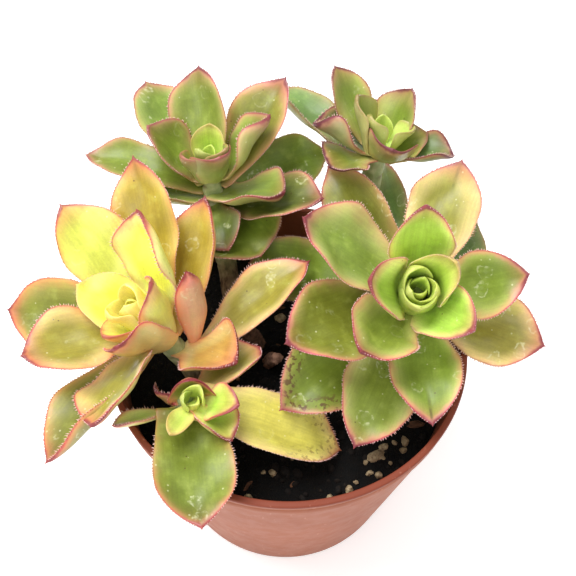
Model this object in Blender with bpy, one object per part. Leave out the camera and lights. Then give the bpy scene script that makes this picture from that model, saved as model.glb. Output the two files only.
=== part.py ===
"""A potted aeonium: five leafy rosettes on short stems, rooted in the soil of a thin plastic nursery pot.

World frame: the origin is the centre of the pot's underside, +Z is up and -Y is the front.
Every length in this file is in millimetres and is turned into metres where a mesh is made.
"""
from math import cos, pi, radians, sin, sqrt

import bmesh
import bpy
from mathutils import Vector

MM = 0.001

# Pot: a tapered round nursery pot with a collar under its rolled lip.
POT_HEIGHT = 78.0
RIM_RADIUS = 52.5
FOOT_RADIUS = 38.2
WALL = 1.2
LIP_HEIGHT = 1.3
LIP_REACH = 0.7
LIP_CHAMFER = 0.3
COLLAR_HEIGHT = 6.5
COLLAR_STEP = 0.5
FOOT_RING_WIDTH = 2.4
UNDERSIDE_RECESS = 1.6
PAD_RADIUS = 12.0
DRAIN_HOLES = 6
DRAIN_RADIUS = 3.5
DRAIN_CIRCLE = 24.0
DRAIN_TURN = 0.4  # where the first hole sits, as part of the angle from one hole to the next
HOLE_SIDES = 16
PAD_SLOPE = 1.0
ROUND_SIDES = 64

# Soil: it fills the pot to SOIL_DEPTH below the rim and is a little higher in the middle.
SOIL_DEPTH = 14.0
SOIL_CROWN = 1.5
SOIL_HUMP = 0.3
SOIL_SHOULDER = 0.7  # part of the rim's radius where the soil stops rising steeply
SOIL_MIDDLE = 0.35  # part of the rim's radius inside which the soil is level
GAP = 0.35

# Stems: round shoots that stand upright in the soil and lean out to their rosettes.
STEM_RADIUS = 3.2
STEM_SIDES = 10
STEM_RINGS = 12
ROOT_DEPTH = 16.0
STEM_REACH = 0.75  # how far a stem's bend reaches down from its top, as part of its height
STEM_UPRIGHT = 0.25  # the same from the soil up, as part of that reach
HEART_SIDES = 8

# Leaves: spoon-shaped, narrow at the base, widest past the middle, pointed at the tip.
LEAF_THICKNESS = 1.5
LEAF_BASE_RADIUS = 5.0
LEAF_BASE_WIDTH = 0.22
LEAF_WIDEST = 0.6
LEAF_THINNING = 0.55  # part of its thickness that a leaf loses from base to tip
LEAF_STATIONS = (0.0, 0.10, 0.25, 0.42, 0.58, 0.72, 0.86, 0.95)
MIDRIB_STEPS = 60

# Each rosette has the point where its stem ends, the lean of its axis from vertical and the
# compass direction of that lean (degrees from +X towards +Y), the place where its stem enters
# the soil, and the radius and height of its closed heart. Then come its leaves from the lowest
# to the highest on the stem, each as: direction round the axis, rise above the rosette's plane,
# length, width, bend towards the axis along the leaf, cupping of the blade, roll about the
# midrib, and distance of the base down the stem from the stem's end.
ROSETTES = {
    "left": {
        "apex": (-42, -6.5, 98), "lean": 28, "towards": 185, "root": (-25, -8), "heart": (4.6, 12),
        "leaves": (
            (31, 3, 41, 21, -5, 31, 4, 29),
            (16, 55, 30, 10, 12, 5, -73, 23),
            (334, 3, 19, 25, 0, 31, -24, 21),
            (59, 19, 38, 18, 14, 12, 25, 16),
            (238, 15, 41, 23, -5, 28, 0, 12),
            (82, 31, 46, 21, 11, 19, 11, 11),
            (259, 16, 31, 23, 5, 25, 10, 9),
            (56, 49, 32, 23, 23, 13, 11, 9),
            (168, 24, 40, 22, -10, 20, -21, 7),
            (211, 37, 30, 24, 2, 30, -11, 6),
            (118, 34, 38, 23, 18, 30, 27, 6),
        ),
    },
    "right": {
        "apex": (36.5, 1.5, 100), "lean": 28, "towards": 270, "root": (24, 14), "heart": (4.6, 12),
        "leaves": (
            (98, -11, 46, 11, -12, 36, -18, 20),
            (340, 2, 35, 22, 14, 12, 7, 17),
            (164, -5, 55, 21, -46, 26, -14, 14),
            (221, 5, 47, 26, 11, 16, 1, 14),
            (9, 31, 30, 21, 11, 24, 6, 14),
            (247, 7, 43, 23, 10, 16, -9, 12),
            (122, 0, 44, 21, -13, 24, -30, 14),
            (72, 6, 37, 23, 4, 27, -18, 11),
            (272, 24, 36, 21, 8, 21, 6, 10),
            (204, 23, 41, 27, 11, 23, 14, 9),
            (97, 60, 32, 20, 8, 34, -7, 8),
            (155, 24, 38, 25, 12, 26, 19, 5),
            (226, 43, 34, 22, 10, 29, 3, 6),
        ),
    },
    "back_left": {
        "apex": (-24.5, 41, 105), "lean": 8, "towards": 120, "root": (-18, 25), "heart": (4.6, 12),
        "leaves": (
            (309, -12, 19, 27, -1, 18, 6, 15),
            (345, 14, 31, 24, -4, 11, -1, 12),
            (285, -12, 16, 17, -2, 27, 27, 11),
            (32, 7, 37, 19, -17, 28, 44, 10),
            (186, 14, 22, 22, -9, 40, 7, 10),
            (333, 17, 22, 24, 3, 22, -12, 8),
            (124, 28, 39, 26, -3, 21, 13, 6),
            (169, 23, 36, 17, -19, 35, -11, 7),
            (43, 40, 36, 21, 0, 26, 10, 6),
            (96, 47, 31, 23, 14, 39, -28, 3),
            (21, 48, 23, 19, 0, 36, -10, 3),
            (163, 47, 21, 21, 7, 29, 5, 3),
        ),
    },
    "back_right": {
        "apex": (26, 47.5, 112), "lean": 10, "towards": 60, "root": (14, 29), "heart": (4.6, 12),
        "leaves": (
            (136, 13, 42, 16, -13, 29, -7, 9),
            (209, -3, 12, 23, 5, 20, 9, 5),
            (50, 64, 19, 18, 4, 40, -13, 4),
            (352, 18, 18, 17, -12, 39, -3, 4),
            (172, 28, 17, 21, -10, 48, 10, 4),
            (140, 46, 24, 15, 6, 26, -11, 2),
        ),
    },
    "pup": {
        "apex": (-27, -26, 87), "lean": 14, "towards": 290, "root": (-27, -21), "heart": (3.2, 8),
        "leaves": (
            (202, 13, 16, 10, 2, 27, 51, 9),
            (281, 20, 33, 22, 2, 20, -1, 4),
            (42, -2, 22, 16, -9, 38, -29, 5),
            (164, 60, 8, 8, 10, 31, 74, 11),
            (349, -11, 43, 20, -16, 31, -7, 3),
            (319, 17, 13, 15, -5, 55, -27, 1),
        ),
    },
}

# A heart's outline, as parts of its radius and of its height.
HEART_PROFILE = ((0.55, 0.03), (0.9, 0.21), (1.0, 0.42), (0.8, 0.67), (0.45, 0.87), (0.12, 1.0))

SOIL_TOP = POT_HEIGHT - SOIL_DEPTH


def clear_scene():
    for old in list(bpy.data.objects):
        bpy.data.objects.remove(old, do_unlink=True)


def make_material(name, colour, roughness, metallic=0.0):
    material = bpy.data.materials.new(name)
    material.use_nodes = True
    shader = material.node_tree.nodes["Principled BSDF"]
    shader.inputs["Base Color"].default_value = (*colour, 1.0)
    shader.inputs["Roughness"].default_value = roughness
    shader.inputs["Metallic"].default_value = metallic
    material.diffuse_color = (*colour, 1.0)
    return material


def make_object(name, bm, material):
    """Turn a millimetre bmesh into a smooth-shaded object in metres."""
    bmesh.ops.scale(bm, vec=(MM, MM, MM), verts=bm.verts)
    bmesh.ops.recalc_face_normals(bm, faces=bm.faces)
    if bm.calc_volume(signed=True) < 0:
        bmesh.ops.reverse_faces(bm, faces=bm.faces)
    mesh = bpy.data.meshes.new(name)
    bm.to_mesh(mesh)
    bm.free()
    mesh.shade_smooth()
    mesh.set_sharp_from_angle(angle=radians(40))
    mesh.materials.append(material)
    piece = bpy.data.objects.new(name, mesh)
    bpy.context.collection.objects.link(piece)
    return piece


def skin_rings(bm, rings):
    """Join neighbouring rings of vertices with quads."""
    for lower, upper in zip(rings, rings[1:]):
        for side in range(len(lower)):
            after = (side + 1) % len(lower)
            bm.faces.new((lower[side], lower[after], upper[after], upper[side]))


def turned_solid(name, profile, material):
    """Turn a closed outline of (radius, height) points round the Z axis."""
    bm = bmesh.new()
    rings = []
    for radius, height in profile:
        angles = [2 * pi * side / ROUND_SIDES for side in range(ROUND_SIDES)]
        rings.append([bm.verts.new((radius * cos(a), radius * sin(a), height)) for a in angles])
    skin_rings(bm, rings)
    bm.faces.new(rings[0])
    bm.faces.new(rings[-1])
    return make_object(name, bm, material)


def swept_solid(bm, points, radii, sides):
    """Sweep a round section along points, with a flat cap at both ends."""
    rings = []
    for index, (point, radius) in enumerate(zip(points, radii)):
        before = points[max(index - 1, 0)]
        after = points[min(index + 1, len(points) - 1)]
        along = (after - before).normalized()
        across = (Vector((1, 0, 0)) - along * along.x).normalized()
        other = along.cross(across)
        angles = [2 * pi * side / sides for side in range(sides)]
        rings.append([bm.verts.new(point + radius * (cos(a) * across + sin(a) * other)) for a in angles])
    skin_rings(bm, rings)
    bm.faces.new(rings[0])
    bm.faces.new(rings[-1])


def cut(piece, cutter):
    cutter.hide_render = True
    cutter.display_type = "WIRE"
    boolean = piece.modifiers.new("cut_" + cutter.name, "BOOLEAN")
    boolean.operation = "DIFFERENCE"
    boolean.solver = "EXACT"
    boolean.object = cutter


def outer_radius(height):
    """Radius of the pot's tapered outside at a height."""
    collar_radius = RIM_RADIUS - LIP_REACH - COLLAR_STEP
    return FOOT_RADIUS + (collar_radius - FOOT_RADIUS) * height / (POT_HEIGHT - COLLAR_HEIGHT)


def inner_radius(height):
    return outer_radius(height) - WALL


def make_pot():
    plastic = make_material("terracotta_plastic", (0.50, 0.20, 0.13), 0.42)
    collar_bottom = POT_HEIGHT - COLLAR_HEIGHT
    lip_bottom = POT_HEIGHT - LIP_HEIGHT
    collar_radius = RIM_RADIUS - LIP_REACH
    floor_top = UNDERSIDE_RECESS + WALL
    profile = (
        (PAD_RADIUS, 0.0),
        (PAD_RADIUS + PAD_SLOPE, UNDERSIDE_RECESS),
        (FOOT_RADIUS - FOOT_RING_WIDTH - PAD_SLOPE, UNDERSIDE_RECESS),
        (FOOT_RADIUS - FOOT_RING_WIDTH, 0.0),
        (FOOT_RADIUS, 0.0),
        (outer_radius(collar_bottom), collar_bottom),
        (collar_radius, collar_bottom + COLLAR_STEP),
        (collar_radius, lip_bottom),
        (RIM_RADIUS, lip_bottom + LIP_CHAMFER),
        (RIM_RADIUS, POT_HEIGHT - LIP_CHAMFER),
        (RIM_RADIUS - LIP_CHAMFER, POT_HEIGHT),
        (RIM_RADIUS - LIP_REACH - WALL + LIP_CHAMFER, POT_HEIGHT),
        (inner_radius(collar_bottom), collar_bottom),
        (inner_radius(floor_top), floor_top),
        (PAD_RADIUS, floor_top),
    )
    pot = turned_solid("pot", profile, plastic)
    for hole in range(DRAIN_HOLES):
        angle = 2 * pi * (hole + DRAIN_TURN) / DRAIN_HOLES
        bm = bmesh.new()
        centre = Vector((DRAIN_CIRCLE * cos(angle), DRAIN_CIRCLE * sin(angle), 0))
        ends = [centre + Vector((0, 0, z)) for z in (-floor_top, 2 * floor_top)]
        swept_solid(bm, ends, [DRAIN_RADIUS, DRAIN_RADIUS], HOLE_SIDES)
        cut(pot, make_object("drain_hole_%d" % (hole + 1), bm, plastic))


def stem_points(rosette):
    """Points of one stem, from its foot in the soil to just under its heart."""
    axis = rosette_axes(rosette)[0]
    foot = Vector((*rosette["root"], SOIL_TOP - ROOT_DEPTH))
    top = Vector(rosette["apex"]) - axis
    reach = STEM_REACH * (top.z - SOIL_TOP)
    upright = foot + Vector((0, 0, ROOT_DEPTH + STEM_UPRIGHT * reach))
    leaning = top - axis * reach
    points = []
    for index in range(STEM_RINGS):
        t = index / (STEM_RINGS - 1)
        points.append(
            foot * (1 - t) ** 3
            + upright * 3 * t * (1 - t) ** 2
            + leaning * 3 * t * t * (1 - t)
            + top * t**3
        )
    return points


def make_stem(name, rosette):
    bark = make_material(name + "_skin", (0.42, 0.46, 0.30), 0.6)
    bm = bmesh.new()
    swept_solid(bm, stem_points(rosette), [STEM_RADIUS] * STEM_RINGS, STEM_SIDES)
    return make_object(name + "_stem", bm, bark)


def make_soil():
    earth = make_material("soil", (0.02, 0.018, 0.015), 0.95)
    bottom = UNDERSIDE_RECESS + WALL + GAP
    profile = (
        (PAD_RADIUS, bottom),
        (inner_radius(bottom) - GAP, bottom),
        (inner_radius(SOIL_TOP) - GAP, SOIL_TOP - SOIL_CROWN),
        (SOIL_SHOULDER * RIM_RADIUS, SOIL_TOP),
        (SOIL_MIDDLE * RIM_RADIUS, SOIL_TOP + SOIL_HUMP),
    )
    soil = turned_solid("soil", profile, earth)
    for name, rosette in ROSETTES.items():
        points = stem_points(rosette)
        axis = (points[1] - points[0]).normalized()
        buried = [points[0] - axis * GAP] + points[1:]
        bm = bmesh.new()
        swept_solid(bm, buried, [STEM_RADIUS + GAP] * STEM_RINGS, STEM_SIDES)
        cut(soil, make_object(name + "_socket", bm, earth))


def rosette_axes(rosette):
    """The rosette's axis, and the two directions that span the plane across it."""
    lean = radians(rosette["lean"])
    towards = radians(rosette["towards"])
    axis = Vector((sin(lean) * cos(towards), sin(lean) * sin(towards), cos(lean)))
    across = (Vector((1, 0, 0)) - axis * axis.x).normalized()
    return axis, across, axis.cross(across)


def make_heart(name, rosette):
    bud = make_material(name + "_heart_leaves", (0.50, 0.62, 0.16), 0.4)
    axis = rosette_axes(rosette)[0]
    radius, height = rosette["heart"]
    points = [Vector(rosette["apex"]) + axis * height * part for _, part in HEART_PROFILE]
    bm = bmesh.new()
    swept_solid(bm, points, [radius * part for part, _ in HEART_PROFILE], HEART_SIDES)
    make_object(name + "_heart", bm, bud)


def leaf_half_width(part):
    """Half width of a leaf, as part of its widest half width, at a part of its length."""
    if part <= LEAF_WIDEST:
        swell = sin(pi / 2 * part / LEAF_WIDEST) ** 1.5
        return LEAF_BASE_WIDTH + (1 - LEAF_BASE_WIDTH) * swell
    past = (part - LEAF_WIDEST) / (1 - LEAF_WIDEST)
    return 1 - past**2


def midrib_points(start, outward, axis, rise, bend, length):
    """Points along a midrib whose slope changes evenly by bend from base to tip."""
    points = [start]
    step = length / MIDRIB_STEPS
    for index in range(MIDRIB_STEPS):
        slope = radians(rise + bend * (index + 0.5) / MIDRIB_STEPS)
        points.append(points[-1] + step * (cos(slope) * outward + sin(slope) * axis))
    return points


def make_leaf(name, rosette, row, material):
    direction, rise, length, width, bend, cupping, roll, drop = row
    axis, across, away = rosette_axes(rosette)
    turn = radians(direction)
    outward = across * cos(turn) + away * sin(turn)
    start = Vector(rosette["apex"]) - axis * drop + outward * LEAF_BASE_RADIUS
    midrib = midrib_points(start, outward, axis, rise, bend, length)
    cup = radians(cupping)
    tilt = radians(roll)
    # Places round the section: across the blade from -1 to 1, and on its upper or lower face.
    section = ((-1, 0), (-0.55, 1), (0, 1), (0.55, 1), (1, 0), (0.5, -1), (0, -1), (-0.5, -1))
    bm = bmesh.new()
    rings = []
    for part in LEAF_STATIONS:
        slope = radians(rise + bend * part)
        along = cos(slope) * outward + sin(slope) * axis
        facing = cos(slope) * axis - sin(slope) * outward
        sideways = facing.cross(along)
        sideways, facing = (
            cos(tilt) * sideways + sin(tilt) * facing,
            cos(tilt) * facing - sin(tilt) * sideways,
        )
        middle = midrib[round(part * MIDRIB_STEPS)]
        half_width = width / 2 * leaf_half_width(part)
        half_thickness = LEAF_THICKNESS / 2 * (1 - LEAF_THINNING * part)
        ring = []
        for place, face in section:
            aside = half_width * sin(cup * place) / cup
            lift = half_width * (1 - cos(cup * place)) / cup
            lift += face * half_thickness * sqrt(1 - place * place)
            ring.append(bm.verts.new(middle + sideways * aside + facing * lift))
        rings.append(ring)
    skin_rings(bm, rings)
    bm.faces.new(rings[0])
    tip = bm.verts.new(midrib[-1])
    for side in range(len(section)):
        bm.faces.new((rings[-1][side], rings[-1][(side + 1) % len(section)], tip))
    make_object(name, bm, material)


def main():
    clear_scene()
    make_pot()
    make_soil()
    for name, rosette in ROSETTES.items():
        make_stem(name, rosette)
        make_heart(name, rosette)
        blade = make_material(name + "_leaf_skin", (0.36, 0.48, 0.14), 0.4)
        for number, row in enumerate(rosette["leaves"], start=1):
            make_leaf("%s_leaf_%02d" % (name, number), rosette, row, blade)


main()
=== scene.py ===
"""Looks of the potted aeonium: leaves with toothed red margins, stems, soil and a nursery pot.

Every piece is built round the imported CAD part. Lengths in this file are in millimetres and are
turned into metres where a mesh is made; places come from the CAD nodes' boxes.
"""

import random
from math import cos, pi, radians, sin, sqrt

import bmesh
import bpy
import numpy as np
from mathutils import Matrix, Vector, noise


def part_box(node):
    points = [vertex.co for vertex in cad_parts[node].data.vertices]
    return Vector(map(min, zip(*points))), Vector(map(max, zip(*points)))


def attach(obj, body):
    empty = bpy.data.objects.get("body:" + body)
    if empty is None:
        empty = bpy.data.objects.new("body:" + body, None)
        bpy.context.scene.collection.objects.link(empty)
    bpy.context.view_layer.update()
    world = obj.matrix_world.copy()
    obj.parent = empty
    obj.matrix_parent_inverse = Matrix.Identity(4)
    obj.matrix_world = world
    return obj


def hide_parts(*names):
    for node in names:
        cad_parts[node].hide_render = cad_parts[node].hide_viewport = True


MM = 0.001
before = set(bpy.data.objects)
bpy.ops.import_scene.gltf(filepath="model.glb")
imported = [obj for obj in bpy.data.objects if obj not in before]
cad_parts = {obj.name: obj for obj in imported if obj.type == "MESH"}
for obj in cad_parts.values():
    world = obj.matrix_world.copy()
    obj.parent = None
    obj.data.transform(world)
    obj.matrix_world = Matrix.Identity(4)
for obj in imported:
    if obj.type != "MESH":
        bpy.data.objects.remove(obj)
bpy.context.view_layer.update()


# ---------- sizes from the CAD part
def node_box(node):
    """Lowest and highest corner of a CAD node, in millimetres."""
    low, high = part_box(node)
    return low / MM, high / MM


POT_LOW, POT_HIGH = node_box("pot")
SOIL_LOW, SOIL_HIGH = node_box("soil")
RIM_RADIUS = (POT_HIGH.x - POT_LOW.x) / 2
POT_HEIGHT = POT_HIGH.z
SOIL_TOP = SOIL_HIGH.z - 0.3
SOIL_RADIUS = (SOIL_HIGH.x - SOIL_LOW.x) / 2
SOIL_SINK = 0.6
SOIL_FALL = 1.5

# The pot's section and drain holes, the same as the CAD part's.
FOOT_RADIUS = 38.2
WALL = 1.2
LIP_HEIGHT = 1.3
LIP_REACH = 0.7
COLLAR_HEIGHT = 6.5
COLLAR_STEP = 0.5
FOOT_RING_WIDTH = 2.4
UNDERSIDE_RECESS = 1.6
PAD_RADIUS = 12.0
DRAIN_HOLES = 6
DRAIN_RADIUS = 3.5
DRAIN_CIRCLE = 24.0
DRAIN_TURN = 0.4
DRAIN_SIDES = 32
POT_SIDES = 160

# Stems, the same as the CAD part's.
STEM_RADIUS = 3.2
STEM_BASE = 64.0
STEM_DEPTH = 16.0
STEM_REACH = 0.75
STEM_UPRIGHT = 0.25
SCAR_SPACING = 2.2
SCAR_TURN = radians(137.5)

# Leaves: millimetres, or parts of the leaf's length and widest half width.
LEAF_THICKNESS = 2.1
LEAF_BASE_RADIUS = 5.0
LEAF_NECK = 0.36
INNER_NECK = 0.6
LEAF_WIDEST = 0.6
LEAF_END = 0.985
TIP_WIDTH = 0.13
TIP_LENGTH = 0.085
TOOTH_SPACING = 0.78

# Colours of the leaf blades as they look in daylight (red, green, blue from 0 to 255): in the
# middle of the blade, and towards its margins.
# Paler margin colours: partly the leaves' own, partly a painted glow of light through the edge.
TONES = {
    "jade": ((104, 132, 66), (132, 144, 80)),
    "green": ((124, 144, 52), (182, 190, 104)),
    "fern": ((114, 132, 42), (128, 138, 56)),
    "moss": ((90, 104, 34), (116, 124, 50)),
    "olive": ((118, 122, 40), (158, 148, 74)),
    "lime": ((120, 150, 44), (186, 194, 104)),
    "spring": ((172, 206, 80), (234, 248, 140)),
    "straw": ((150, 144, 56), (226, 202, 134)),
    "gold": ((172, 152, 52), (214, 188, 106)),
    "honey": ((192, 152, 74), (232, 210, 136)),
    "lemon": ((242, 242, 96), (255, 252, 160)),
    "cream": ((204, 204, 86), (230, 224, 116)),
    "wheat": ((198, 188, 84), (226, 208, 124)),
    "rose": ((228, 184, 140), (230, 152, 136)),
}

# Each rosette has the point where its stem ends, the lean of its axis from vertical, the compass
# direction of that lean (degrees from +X towards +Y) and the place where its stem enters the
# soil; "bud" is where its young inner leaves spring from. Its leaves run from the lowest to the
# highest on the stem: direction round the axis, rise, length, width, bend, cupping, roll,
# distance of the base down the stem, tone, and how strongly the blade flushes pink (0 to 9).
# The inner leaves have no CAD node of their own: they stand for the CAD part's closed heart,
# with the distance of the base from the axis in front.
LEFT = {
    "apex": (-42, -6.5, 98), "lean": 28, "towards": 185, "root": (-25, -8),
    "bud": (-38, -7.5, 95),
    "flush": (244, 150, 104), "edge": (204, 80, 84),
    "leaves": (
        (31, 3, 41, 21, -5, 31, 4, 29, "straw", 4),
        (16, 55, 30, 10, 12, 5, -73, 23, "rose", 9),
        (334, 3, 19, 25, 0, 31, -24, 21, "honey", 6),
        (59, 19, 38, 18, 14, 12, 25, 16, "gold", 4),
        (238, 15, 41, 23, -5, 28, 0, 12, "olive", 3),
        (82, 31, 46, 21, 11, 19, 11, 11, "gold", 3),
        (259, 16, 31, 23, 5, 25, 10, 9, "straw", 5),
        (56, 49, 32, 23, 23, 13, 11, 9, "lemon", 3),
        (168, 24, 40, 22, -10, 20, -21, 7, "olive", 5),
        (211, 37, 30, 24, 2, 30, -11, 6, "straw", 5),
        (118, 34, 38, 23, 18, 30, 27, 6, "cream", 3),
    ),
    "inner": (
        (3.0, 276, 56, 27, 17, 8, 34, 12, 9, "honey", 6),
        (2.2, 0, 62, 25, 17, 16, 52, -5, 8, "lemon", 4),
        (3.0, 153, 47, 24, 21, 14, 60, 0, 5, "lemon", 1),
        (3.4, 240, 60, 17, 15, 6, 50, 0, 4, "lemon", 3),
        (3.6, 60, 82, 15, 14, 14, 70, 0, 1, "lemon", 0),
        (3.4, 215, 77, 14, 13, 4, 72, 0, 1, "lemon", 0),
        (2.6, 290, 80, 13, 11, 20, 72, 0, 1, "lemon", 0),
        (1.6, 95, 80, 11, 8, 24, 72, 0, 1, "lemon", 0),
    ),
}
RIGHT = {
    "apex": (36.5, 1.5, 100), "lean": 28, "towards": 270, "root": (24, 14),
    "bud": (34.6, 1, 99),
    "flush": (230, 156, 130), "edge": (196, 78, 92),
    "leaves": (
        (98, -11, 46, 11, -12, 36, -18, 20, "jade", 1),
        (340, 2, 35, 22, 14, 12, 7, 17, "straw", 3),
        (164, -5, 55, 21, -46, 26, -14, 14, "fern", 2),
        (221, 5, 47, 26, 11, 16, 1, 14, "fern", 2),
        (9, 31, 30, 21, 11, 24, 6, 14, "green", 6),
        (247, 7, 43, 23, 10, 16, -9, 12, "green", 5),
        (122, 0, 44, 21, -13, 24, -30, 14, "olive", 3),
        (72, 6, 37, 23, 4, 27, -18, 11, "straw", 3),
        (272, 24, 36, 21, 8, 21, 6, 10, "green", 6),
        (204, 23, 41, 27, 11, 23, 14, 9, "olive", 5),
        (97, 60, 32, 20, 8, 34, -7, 8, "spring", 3),
        (155, 24, 38, 25, 12, 26, 19, 5, "green", 5),
        (226, 43, 34, 22, 10, 29, 3, 6, "green", 6),
    ),
    "inner": (
        (5.0, 49, -13, 31, 20, 1, 20, 1, 16, "jade", 1),
        (5.0, 66, -6, 38, 22, -6, 20, 6, 20, "jade", 1),
        (3.2, 315, 58, 27, 20, 2, 50, 10, 5, "spring", 4),
        (3.0, 181, 63, 27, 20, 0, 52, -7, 4, "spring", 4),
        (5.0, 34, 78, 21, 20, -4, 72, 0, 3, "spring", 1),
        (4.8, 262, 85, 16, 15.5, 4, 78, 0, 2, "spring", 0),
        (4.6, 118, 86, 15, 14, 4, 76, 0, 2, "spring", 0),
        (3.8, 342, 82, 14, 12, 12, 74, 0, 2, "spring", 0),
        (3.0, 205, 78, 13, 10.5, 22, 72, 0, 2, "spring", 0),
        (2.2, 70, 76, 12, 9, 28, 70, 0, 2, "spring", 0),
        (1.3, 285, 78, 11, 6.5, 24, 66, 0, 2, "spring", 0),
    ),
}
BACK_LEFT = {
    "apex": (-24.5, 41, 105), "lean": 8, "towards": 120, "root": (-18, 25),
    "bud": (-24.5, 41, 104),
    "flush": (236, 168, 140), "edge": (186, 80, 92),
    "leaves": (
        (309, -12, 19, 27, -1, 18, 6, 15, "fern", 1),
        (345, 14, 31, 24, -4, 11, -1, 12, "moss", 3),
        (285, -12, 16, 17, -2, 27, 27, 11, "moss", 1),
        (32, 7, 37, 19, -17, 28, 44, 10, "fern", 0),
        (186, 14, 22, 22, -9, 40, 7, 10, "green", 2),
        (333, 17, 22, 24, 3, 22, -12, 8, "green", 4),
        (124, 28, 39, 26, -3, 21, 13, 6, "green", 3),
        (169, 23, 36, 17, -19, 35, -11, 7, "fern", 2),
        (43, 40, 36, 21, 0, 26, 10, 6, "olive", 6),
        (96, 47, 31, 23, 14, 39, -28, 3, "green", 5),
        (21, 48, 23, 19, 0, 36, -10, 3, "green", 3),
        (163, 47, 21, 21, 7, 29, 5, 3, "fern", 2),
    ),
    "inner": (
        (3.8, 80, 76, 14, 14.5, 6, 60, 0, 0, "spring", 1),
        (4.0, 303, 60, 12.5, 18, 14, 66, 0, 0, "lime", 3),
        (3.4, 222, 61, 13, 12, 8, 62, 0, 1, "lime", 2),
        (3.4, 324, 68, 14, 12, 8, 66, 0, 1, "lime", 1),
        (2.6, 235, 83, 12, 10, 6, 70, 0, 1, "spring", 0),
        (1.8, 60, 84, 10, 8, 6, 70, 0, 1, "spring", 0),
        (1.0, 272, 80, 9, 6, 4, 70, 0, 1, "spring", 0),
    ),
}
BACK_RIGHT = {
    "apex": (26, 47.5, 112), "lean": 10, "towards": 60, "root": (14, 29),
    "bud": (26, 47.5, 111),
    "flush": (206, 140, 112), "edge": (150, 62, 78),
    "leaves": (
        (136, 13, 42, 16, -13, 29, -7, 9, "jade", 2),
        (209, -3, 12, 23, 5, 20, 9, 5, "green", 4),
        (50, 64, 19, 18, 4, 40, -13, 4, "green", 3),
        (352, 18, 18, 17, -12, 39, -3, 4, "jade", 4),
        (172, 28, 17, 21, -10, 48, 10, 4, "jade", 4),
        (140, 46, 24, 15, 6, 26, -11, 2, "green", 3),
    ),
    "inner": (
        (3.0, 12, 30, 14, 16, 6, 22, 10, 4, "green", 2),
        (3.2, 277, 42, 14, 19, 4, 50, -20, 3, "lime", 4),
        (3.2, 169, 67, 18, 15, 6, 46, -6, 2, "lime", 1),
        (3.0, 350, 52, 11, 12, 6, 58, 0, 1, "spring", 1),
        (3.2, 213, 74, 12.5, 12, 4, 68, 0, 1, "spring", 1),
        (2.4, 100, 88, 10, 9, 4, 70, 0, 1, "spring", 0),
        (1.3, 235, 78, 9, 6.5, 4, 70, 0, 1, "spring", 0),
    ),
}
PUP = {
    "apex": (-27, -26, 87), "lean": 14, "towards": 290, "root": (-27, -21),
    "bud": (-25, -27.5, 85.5),
    "flush": (236, 150, 118), "edge": (206, 78, 92),
    "leaves": (
        (202, 13, 16, 10, 2, 27, 51, 9, "spring", 2),
        (281, 20, 33, 22, 2, 20, -1, 4, "fern", 2),
        (42, -2, 22, 16, -9, 38, -29, 5, "straw", 3),
        (164, 60, 8, 8, 10, 31, 74, 11, "straw", 8),
        (349, -11, 43, 20, -16, 31, -7, 3, "wheat", 1),
        (319, 17, 13, 15, -5, 55, -27, 1, "spring", 3),
    ),
    "inner": (
        (3.0, 103, 72, 9, 16, 6, 50, 0, 2, "lime", 9),
        (2.8, 352, 46, 14, 13, 6, 46, -10, 2, "spring", 4),
        (2.0, 245, 38, 12.5, 8, 4, 60, 0, 0, "spring", 1),
        (2.2, 60, 82, 9, 9, 4, 60, 0, 1, "spring", 0),
        (1.6, 180, 80, 8, 7, 4, 64, 0, 1, "spring", 0),
        (1.0, 320, 82, 7, 5, 4, 60, 0, 1, "spring", 0),
    ),
}
ROSETTES = {
    "left": LEFT, "right": RIGHT, "back_left": BACK_LEFT, "back_right": BACK_RIGHT, "pup": PUP,
}


# ---------- material helpers
def linear(colour):
    """A colour from 0 to 255 as seen, as Blender's linear values."""
    parts = [c / 255 for c in colour]
    return tuple(p / 12.92 if p <= 0.04045 else ((p + 0.055) / 1.055) ** 2.4 for p in parts)


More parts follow.
